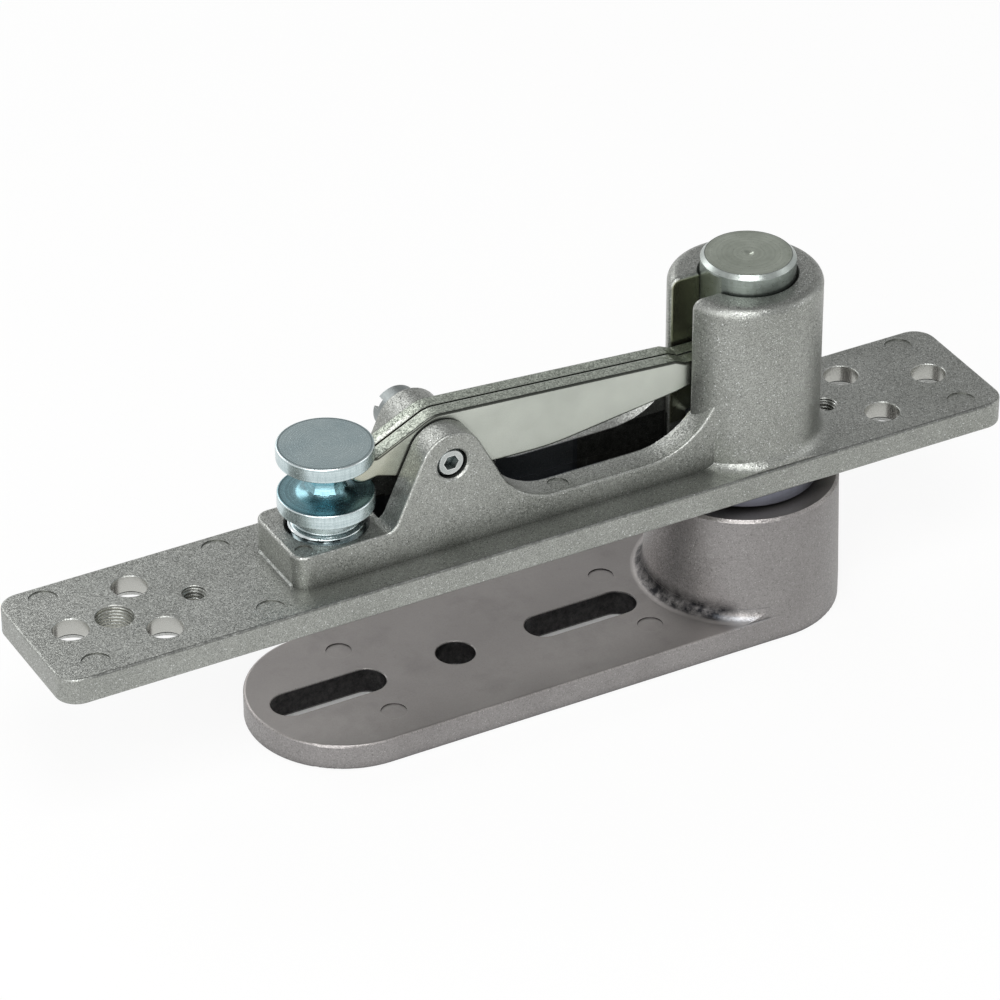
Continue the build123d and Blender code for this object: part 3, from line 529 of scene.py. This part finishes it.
bronzeLook = {
    "axis": (54.8, 0, 0), "along": "Z", "radius": 13.5,
    "ring": 0.35, "ringStrength": 0.35, "ringDepth": 0.03,
    "mark": 0.8, "markDepth": 0.02, "markTone": 0.15, "rim": (0.36, 0.24, 0.11, 1), "rimAmount": 0.3,
    "mottle": 0.5, "mottleDepth": 0.04, "cloud": 6.0, "speck": 0.3, "speckAmount": 0.5, "ringTone": 0.15,
    "grooveShadeBox": None,
    "deep": (0.30, 0.19, 0.085, 1), "light": (0.42, 0.28, 0.13, 1), "shine": (0.75, 0.55, 0.30, 1),
    "dark": (0.12, 0.075, 0.035, 1), "paintedDark": (0.02, 0.014, 0.01, 1), "edge": 0.3, "edgeBright": 0.6,
    "edgeLine": 50.0, "lineAmount": 0.0,
    "crevice": 3.0, "creviceShade": 0.5, "roughness": (0.34, 0.5), "metallic": 0.95,
}

frameAlloy = castAlloy("blastedFrameAlloy", frameLook)
threadAlloy = castAlloy("tappedAlloy", threadLook)
armAlloy = castAlloy("rawArmAlloy", armLook)
spoolZinc = turnedPlate("blueZincSpool", spoolLook)
pinZinc = turnedPlate("turnedPinZinc", pinLook)
boltZinc = turnedPlate("boltZinc", boltLook)
shadedHeadZinc = turnedPlate("slottedHeadShadedZinc", shadedHeadLook)
flangeSteel = turnedPlate("smoothFlangeSteel", flangeLook)
bushBronze = turnedPlate("sinteredBronze", bronzeLook)
leverZinc = blankedPlate("blankedLeverZinc", leverLook)

nodeFinish = {
    "frame_casting": frameAlloy, "door_arm": armAlloy, "pivot_pin": pinZinc, "frame_bush": flangeSteel,
    "arm_bush": bushBronze, "lever_pivot_screw": shadedHeadZinc, "pivot_lock_screw": boltZinc,
}
for nodeName, material in nodeFinish.items():
    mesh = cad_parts[nodeName].data
    mesh.materials.clear()
    mesh.materials.append(material)
print("finishes given to", len(nodeFinish), "packed nodes")


screw = {
    "x": -43.5, "threadRadius": 7.94, "threadDepth": 1.05, "pitch": 2.0, "threadTop": 48.6,
    "threadBand": 0.35, "crestFlat": 0.12, "runIn": 1.2, "runOut": 0.8, "pastTop": 0.4, "leastTooth": 0.25,
    "reliefRadius": 6.9, "reliefSlope": 0.5, "discRadius": 10.0, "discThickness": 3.3, "lowerDisc": 52.19,
    "grooveHeight": 7.8, "neckRadius": 3.2, "neckFlare": 3.4, "neckTopFillet": 0.5, "edge": 0.35,
    "footRounding": 0.8, "crestRounding": 0.3, "reliefRounding": 0.2, "discFootFillet": 0.3,
    "keyFlats": 8.0, "keyDepth": 6.0, "ringPitch": 0.55, "ringHeight": 0.007, "ringMargin": 0.5,
    "columns": 216, "spacing": 0.16,
}


def adjustingScrew(s):
    # Lathed surface r(row, angle), z(row, angle) from the key socket's floor, out over the
    # underside, up the stem and discs and back to the axis on top.
    # Thread: r = outer - depth * triangle(z / pitch - angle / 360). Top rings: z gets
    # height * sin(360 * r / ringPitch + angle), one spiral from rim to centre.
    low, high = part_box("adjusting_screw")
    bottom, top = low.z / mm, high.z / mm
    r, d, e = s["discRadius"], s["discThickness"], s["edge"]
    disc1 = s["lowerDisc"]
    neckFoot = disc1 + d
    disc2 = neckFoot + s["grooveHeight"]
    flare = s["neckFlare"]
    corners = [(0.0, bottom + s["keyDepth"]), (s["keyFlats"] / 2, bottom + s["keyDepth"]),
               (s["keyFlats"] / 2, bottom), (s["threadRadius"], bottom), (s["threadRadius"], s["threadTop"]),
               (s["reliefRadius"], s["threadTop"] + s["reliefSlope"]), (s["reliefRadius"], disc1), (r, disc1),
               (r, neckFoot), (s["neckRadius"], neckFoot), (s["neckRadius"], disc2),
               (r, disc2), (r, top), (0.0, top)]
    radii = [0, 0, 0, s["footRounding"], s["crestRounding"], s["reliefRounding"], s["discFootFillet"],
             e, e, flare, s["neckTopFillet"], e, e, 0]
    path = refine(roundedPath(corners, radii, False), s["spacing"], False)
    radius, height = path[:, :1], path[:, 1:]
    angle = np.linspace(0, 2 * np.pi, s["columns"], endpoint=False)[None, :]

    sixth = np.pi / 3
    hexagon = 1 / np.cos((angle + sixth / 2) % sixth - sixth / 2)
    inSocket = (radius <= s["keyFlats"] / 2 + 1e-6) & (height < top - 1)
    radiusAll = radius * np.where(inSocket, hexagon, 1.0)

    turn = (height / s["pitch"] - angle / (2 * np.pi)) % 1.0
    tooth = np.abs(2 * turn - 1)    # 0 at the crest, 1 at the root
    tooth = np.clip((tooth - s["crestFlat"]) / (1 - 2 * s["crestFlat"]), 0, 1)
    threadEnd = s["threadTop"] + s["pastTop"]
    onThread = (radius > s["threadRadius"] - s["threadBand"]) & (height < threadEnd)
    fade = np.clip((height - bottom) / s["runIn"], 0, 1)
    fade = fade * np.clip((threadEnd - height) / s["runOut"], s["leastTooth"], 1)
    radiusAll = radiusAll - np.where(onThread, s["threadDepth"] * tooth * fade, 0)

    onTop = (height > top - 0.02) & (radius < r - s["ringMargin"])
    ripple = np.sin(2 * np.pi * radius / s["ringPitch"] + angle) - 1
    heightAll = height + np.where(onTop, s["ringHeight"] * ripple, 0) + 0 * angle

    x, y = s["x"] + radiusAll * np.cos(angle), radiusAll * np.sin(angle) + 0 * height
    grid = np.stack([x, y, heightAll], -1)
    inner = grid[1:-1].reshape(-1, 3)
    rows, columns = grid.shape[0] - 2, s["columns"]
    first, last = len(inner), len(inner) + 1
    points = np.vstack([inner, [[s["x"], 0, bottom + s["keyDepth"]]], [[s["x"], 0, top - s["ringHeight"]]]])
    ring = np.arange(columns)
    nextOne = (ring + 1) % columns
    start = np.stack([ring * 0 + first, nextOne, ring], -1)
    end = np.stack([ring * 0 + last, (rows - 1) * columns + ring, (rows - 1) * columns + nextOne], -1)
    faces = gridQuads(rows, columns).tolist() + start.tolist() + end.tolist()
    return makePiece("adjustingScrew", points, faces, "adjusting_screw", spoolZinc)


spool = adjustingScrew(screw)
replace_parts(spool, "adjusting_screw")
print("adjusting screw:", len(spool.data.polygons), "faces")


lever = {
    "pivot": (-19.8, 59.9), "noseX": -16.9, "noseZ": -0.11, "noseRadius": 3.2,
    "tipX": 74.6, "tipZ": 0.45, "tipRadius": 2.9, "bore": 4.05,
    "shoulder": 3.1, "shoulderIn": 1.0, "shoulderRounding": 1.5,
    "crown": (-1.0, 8.4), "crownRounding": 7.0, "backLength": 19.0, "backZ": 4.4,
    "bellyLength": 18.3, "bellyEndZ": -3.0, "tipSlope": 2.4, "stepRounding": 1.0,
    "bellyRight": (26.0, -7.15), "bellyRightRounding": 60.0,
    "bellyLeft": (-3.0, -6.3), "bellyLeftRounding": 6.0, "throat": (-10.6, -3.3),
    "gap": 0.05, "thickness": 3.7, "rollDepth": 0.5, "rollWidth": 0.7, "burr": 0.2,
    "tear": 0.035, "tearDepth": 2.4, "tearWaves": ((5.3, 1.7, 0.0), (8.9, -3.1, 1.0), (2.1, 0.0, 2.0)),
    "spacing": 0.35, "boreSteps": 72, "rollSteps": 7, "tornRows": 8, "sharpAngle": 40,
}


def leverOutline(v):
    # Corners in the plane of the plate, measured from the lever's pivot, clockwise from the nose:
    # over the crown to the tip and back along the belly, with a rounding radius for each corner.
    noseTop, noseLow = v["noseZ"] + v["noseRadius"], v["noseZ"] - v["noseRadius"]
    tipTop, tipLow = v["tipZ"] + v["tipRadius"], v["tipZ"] - v["tipRadius"]
    noseLeft, tipRight = v["noseX"] - v["noseRadius"], v["tipX"] + v["tipRadius"]
    back, belly = v["tipX"] - v["backLength"], v["tipX"] - v["bellyLength"]
    shoulder, shoulderIn, slope = v["noseX"] + v["shoulder"], v["shoulderIn"], v["tipSlope"]
    nose, tip, step, bend = v["noseRadius"], v["tipRadius"], v["stepRounding"], v["shoulderRounding"]
    outline = [((noseLeft, noseTop), nose), ((shoulder, noseTop - shoulderIn), bend),
               (v["crown"], v["crownRounding"]), ((back, v["backZ"]), step),
               ((back + slope, tipTop), step), ((tipRight, tipTop), tip), ((tipRight, tipLow), tip),
               ((belly + slope, tipLow), step), ((belly, v["bellyEndZ"]), step),
               (v["bellyRight"], v["bellyRightRounding"]), (v["bellyLeft"], v["bellyLeftRounding"]),
               (v["throat"], bend), ((shoulder, noseLow + shoulderIn), bend), ((noseLeft, noseLow), nose)]
    return zip(*outline)


def leverPlate(v, name, side):
    # The outline P(s) carried through the thickness: point = P(s) + d(t) * outward normal at
    # the depth y(t). d follows the die's rolled edge, a quarter ellipse on the outer side, and
    # a small burr bevel on the inner side. In between, sines of s and t tear the edge a little.
    corners, radii = leverOutline(v)
    path = refine(roundedPath(corners, radii, True), v["spacing"], True)
    ahead, behind = np.roll(path, -1, axis=0), np.roll(path, 1, axis=0)
    along = (ahead - behind) / np.linalg.norm(ahead - behind, axis=1)[:, None]
    outward = np.stack([-along[:, 1], along[:, 0]], -1)    # the path runs clockwise
    quarter = np.linspace(0, np.pi / 2, v["rollSteps"])
    inset = [[-v["burr"], 0], np.zeros(v["tornRows"]), v["rollWidth"] * (np.cos(quarter) - 1)]
    inset = np.concatenate(inset)
    middle = np.linspace(v["burr"], v["thickness"] - v["rollDepth"], v["tornRows"] + 2)[1:-1]
    rolled = v["thickness"] - v["rollDepth"] * (1 - np.sin(quarter))
    depth = np.concatenate([[0, v["burr"]], middle, rolled])
    length = np.append(0, np.cumsum(np.linalg.norm(np.diff(path, axis=0), axis=1)))[None, :]
    wave = sum(np.sin(length * s + depth[:, None] * t + late) for s, t, late in v["tearWaves"])
    wave = wave / len(v["tearWaves"]) - 1
    band = np.clip(1 - depth / v["tearDepth"], 0, 1)[:, None] * (depth[:, None] > 0)
    push = inset[:, None] + v["tear"] * wave * band
    y = side * (v["gap"] + depth)[:, None]
    flat = path[None] + push[..., None] * outward[None]
    px, pz = v["pivot"]
    grid = np.stack([px + flat[..., 0], y + 0 * flat[..., 0], pz + flat[..., 1]], -1)
    rows, columns = grid.shape[:2]
    turn = np.linspace(0, 2 * np.pi, v["boreSteps"], endpoint=False)[None, :]
    ends = y[[0, -1]]
    bore = np.stack([px + v["bore"] * np.cos(turn) + 0 * ends, 0 * turn + ends,
                     pz + v["bore"] * np.sin(turn) + 0 * ends], -1)
    points = np.vstack([grid.reshape(-1, 3), bore.reshape(-1, 3)])
    faces = np.vstack([gridQuads(rows, columns), gridQuads(2, v["boreSteps"]) + rows * columns])
    return makePiece(name, points, faces.tolist(), "lever", leverZinc,
                     v["sharpAngle"], ends[:, 0])


for name, side, node in (("leverFront", -1, "lever_plate_front"), ("leverRear", 1, "lever_plate_rear")):
    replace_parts(leverPlate(lever, name, side), node)
print("lever: two blanked plates")


jigThreads = {
    "largeThread": {"x": -91.1, "outer": 3.98, "core": 3.8, "pitch": 0.75},
    "smallThreadLeft": {"x": -73.5, "outer": 2.47, "core": 2.08, "pitch": 0.8},
    "smallThreadRight": {"x": 74.8, "outer": 2.47, "core": 2.08, "pitch": 0.8},
}
thread = {"span": (34.75, 39.85), "mouth": 0.5, "wall": 0.01, "ridgeSlope": 1.5, "leastRidge": 0.15,
          "columns": 96, "rows": 110, "sharpAngle": 60}


def tappedThread(name, t):
    # Tube round the hole's axis: outside r = outer, inside r = outer - (outer - core) * ridge,
    # ridge a clipped triangle wave of z / pitch - angle / 360 that dies out at both mouths.
    low, high = thread["span"]
    columns, mouth, least = thread["columns"], thread["mouth"], thread["leastRidge"]
    angle = np.linspace(0, 2 * np.pi, columns, endpoint=False)[None, :]
    z = np.linspace(low, high, thread["rows"])[:, None]
    turn = (z / t["pitch"] - angle / (2 * np.pi)) % 1.0
    ridge = np.clip((1 - np.abs(2 * turn - 1)) * thread["ridgeSlope"], 0, 1)
    fade = np.clip((z - low) / mouth, 0, 1) * np.clip((high - z) / mouth, 0, 1)
    inner = t["outer"] - thread["wall"] - (t["outer"] - t["core"]) * ridge * (least + (1 - least) * fade)
    r = np.vstack([inner, np.full((2, columns), t["outer"])])
    zAll = np.vstack([z + 0 * angle, np.full((1, columns), high), np.full((1, columns), low)])
    grid = np.stack([t["x"] + r * np.cos(angle), r * np.sin(angle), zAll], -1)
    rows = len(grid)
    quads = gridQuads(rows, columns)
    ring = np.arange(columns)
    seam = np.stack([(rows - 1) * columns + ring, (rows - 1) * columns + (ring + 1) % columns,
                     (ring + 1) % columns, ring], -1)
    faces = np.vstack([quads, seam])[:, ::-1]
    makePiece(name, grid.reshape(-1, 3), faces.tolist(), "frame", threadAlloy,
              thread["sharpAngle"])


for name, values in jigThreads.items():
    tappedThread(name, values)
print("jig hole threads:", len(jigThreads))


stage = {
    "floorRadius": 4.0, "floorHeight": -0.00005, "floorSides": 96, "floorColour": (0.88, 0.88, 0.87, 1),
    "glow": 0.88, "cloud": 60.0,    # the cloud's width is in millimetres
    "mirrorLeft": 1.0, "mirrorRight": 0.12, "mirrorFrom": -0.08, "mirrorTo": 0.15,
    "roomLight": 0.45, "ceiling": 0.33, "horizon": 0.9, "lowSky": 0.15, "highSky": 0.85,
    "skyFrom": -0.4, "skyTo": 0.7, "rightSky": 0.75,
    "slots": [((-57.4, -4.8, -9.0), (-30.4, 4.8, 9.0)), ((2.2, -4.8, -9.0), (29.2, 4.8, 9.0)),
              ((-19.0, -4.8, -9.0), (-9.4, 4.8, 9.0))],    # the arm's openings, in millimetres
    "slotShade": 0.95, "slotPaint": 0.02,
}


def makeFloor(s):
    # Flat disc x = R cos(a), y = R sin(a). It glows white to the eye and keeps a soft shadow; in
    # mirrored views its glow falls from left to right, like a lit sheet that ends at the right.
    # Down in the arm's slots and hole it lies in shadow. That mask is read in the arm's own
    # coordinates, so that it turns with the arm.
    a = np.linspace(0, 2 * np.pi, s["floorSides"], endpoint=False)
    x, y = s["floorRadius"] * np.cos(a), s["floorRadius"] * np.sin(a)
    points = np.stack([x, y, 0 * a + s["floorHeight"]], -1)
    mesh = bpy.data.meshes.new("studioFloor")
    mesh.from_pydata(points.tolist(), [], [list(range(len(a)))])
    floor = bpy.data.objects.new("studioFloor", mesh)
    bpy.context.scene.collection.objects.link(floor)
    material, tree = newMaterial("paleFloor")
    place = add(tree, "TexCoord").outputs["Object"]
    tone = ramp(tree, noise(tree, place, s["cloud"], 3.0), 0.3, 0.7, 0.97, 1.0)
    paint = blend(tree, 1.0, s["floorColour"], tone, "MULTIPLY")
    matt = add(tree, "BsdfDiffuse", {"Color": paint})
    glow = add(tree, "Emission", {"Color": (1, 1, 1, 1), "Strength": 1.0})
    side = add(tree, "SeparateXYZ", {0: place}).outputs[0]
    mirrored = ramp(tree, side, s["mirrorFrom"], s["mirrorTo"], s["mirrorLeft"], s["mirrorRight"])
    path = add(tree, "LightPath")
    seen = maths(tree, "MAXIMUM", path.outputs["Is Camera Ray"], path.outputs["Is Transmission Ray"])
    mirrorShare = times(tree, path.outputs["Is Glossy Ray"], mirrored)
    share = maths(tree, "ADD", times(tree, seen, s["glow"]), mirrorShare)
    armPlace = add(tree, "TexCoord", object=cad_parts["door_arm"]).outputs["Object"]
    shade = times(tree, insideAny(tree, armPlace, s["slots"]), s["slotShade"])
    share = times(tree, share, maths(tree, "SUBTRACT", 1.0, shade))
    paint = blend(tree, shade, paint, s["slotPaint"])
    mixed = add(tree, "MixShader", {0: share, 1: matt.outputs[0], 2: glow.outputs[0]})
    below = add(tree, "NewGeometry").outputs["Backfacing"]
    clear = add(tree, "BsdfTransparent")
    shown = add(tree, "MixShader", {0: below, 1: mixed.outputs[0], 2: clear.outputs[0]})
    add(tree, "OutputMaterial", {"Surface": shown.outputs[0]})
    mesh.materials.append(material)


def makeRoom(s):
    # white to the eye; in reflections it is darker towards the ceiling and a little to the right
    world = bpy.data.worlds.new("studioRoom")
    bpy.context.scene.world = world
    world.use_nodes = True
    tree = world.node_tree
    tree.nodes.clear()
    direction = add(tree, "SeparateXYZ", {0: add(tree, "TexCoord").outputs["Generated"]})
    mirrored = ramp(tree, direction.outputs[2], s["lowSky"], s["highSky"], s["horizon"], s["ceiling"])
    sideways = ramp(tree, direction.outputs[0], s["skyFrom"], s["skyTo"], 1.0, s["rightSky"])
    mirrored = times(tree, mirrored, sideways)
    path = add(tree, "LightPath")
    isGlossy = path.outputs["Is Glossy Ray"]
    seen = maths(tree, "MAXIMUM", path.outputs["Is Camera Ray"], path.outputs["Is Transmission Ray"])
    strength = ramp(tree, seen, 0.0, 1.0, s["roomLight"], 1.0)
    strength = add(tree, "Mix", {0: isGlossy, 2: strength, 3: mirrored}, data_type="FLOAT").outputs[0]
    room = add(tree, "Background", {"Color": (1, 1, 1, 1), "Strength": strength})
    add(tree, "OutputWorld", {"Surface": room.outputs[0]})


def softBox(name, place, target, width, height, power):
    # a rectangular lamp turned so that its back looks away from the target and its sides lie level
    lamp = bpy.data.lights.new(name, "AREA")
    lamp.shape = "RECTANGLE"
    lamp.size, lamp.size_y, lamp.energy = width, height, power
    box = bpy.data.objects.new(name, lamp)
    bpy.context.scene.collection.objects.link(box)
    aim = np.array(target) - np.array(place)
    back = -aim / np.linalg.norm(aim)
    right = np.cross((0, 0, 1), back)
    right /= np.linalg.norm(right)
    up = np.cross(back, right)
    turn = Matrix(np.stack([right, up, back], axis=1).tolist()).to_4x4()
    box.matrix_world = Matrix.Translation(place) @ turn
    box.visible_camera = False


softBoxes = {
    "keyFrontLeft": ((-0.62, -0.6, 0.45), 0.9, 0.9, 5.2),
    "fillRight": ((0.95, -0.45, 0.45), 0.5, 0.8, 1.2),
    "overhead": ((-0.25, -0.6, 1.2), 0.65, 0.65, 7.0),
    "rearLeft": ((-0.25, 0.95, 0.68), 1.0, 0.5, 3.6),
}
lampTarget = (0.0, 0.0, 0.04)

makeFloor(stage)
makeRoom(stage)
for name, (place, width, height, power) in softBoxes.items():
    softBox(name, place, lampTarget, width, height, power)

camera = {
    "place": (-0.446227, -0.810516, 0.640180), "lens": 192.63,
    "right": (0.877308, -0.479926, -0.001067), "up": (0.262128, 0.477308, 0.838729),
    "back": (-0.402019, -0.736103, 0.544549), "sensor": 36.0, "clip": (0.05, 20.0),
}


def makeCamera(c):
    # the camera of the photo; its right, up and back directions are the columns of its turn
    data = bpy.data.cameras.new("photoCamera")
    data.sensor_width = c["sensor"]
    data.lens = c["lens"]
    data.clip_start, data.clip_end = c["clip"]
    cam = bpy.data.objects.new("photoCamera", data)
    bpy.context.scene.collection.objects.link(cam)
    turn = Matrix((c["right"], c["up"], c["back"])).transposed().to_4x4()
    cam.matrix_world = Matrix.Translation(c["place"]) @ turn
    bpy.context.scene.camera = cam


makeCamera(camera)
bpy.context.scene.view_settings.view_transform = "Standard"
print("floor, light and camera ready")
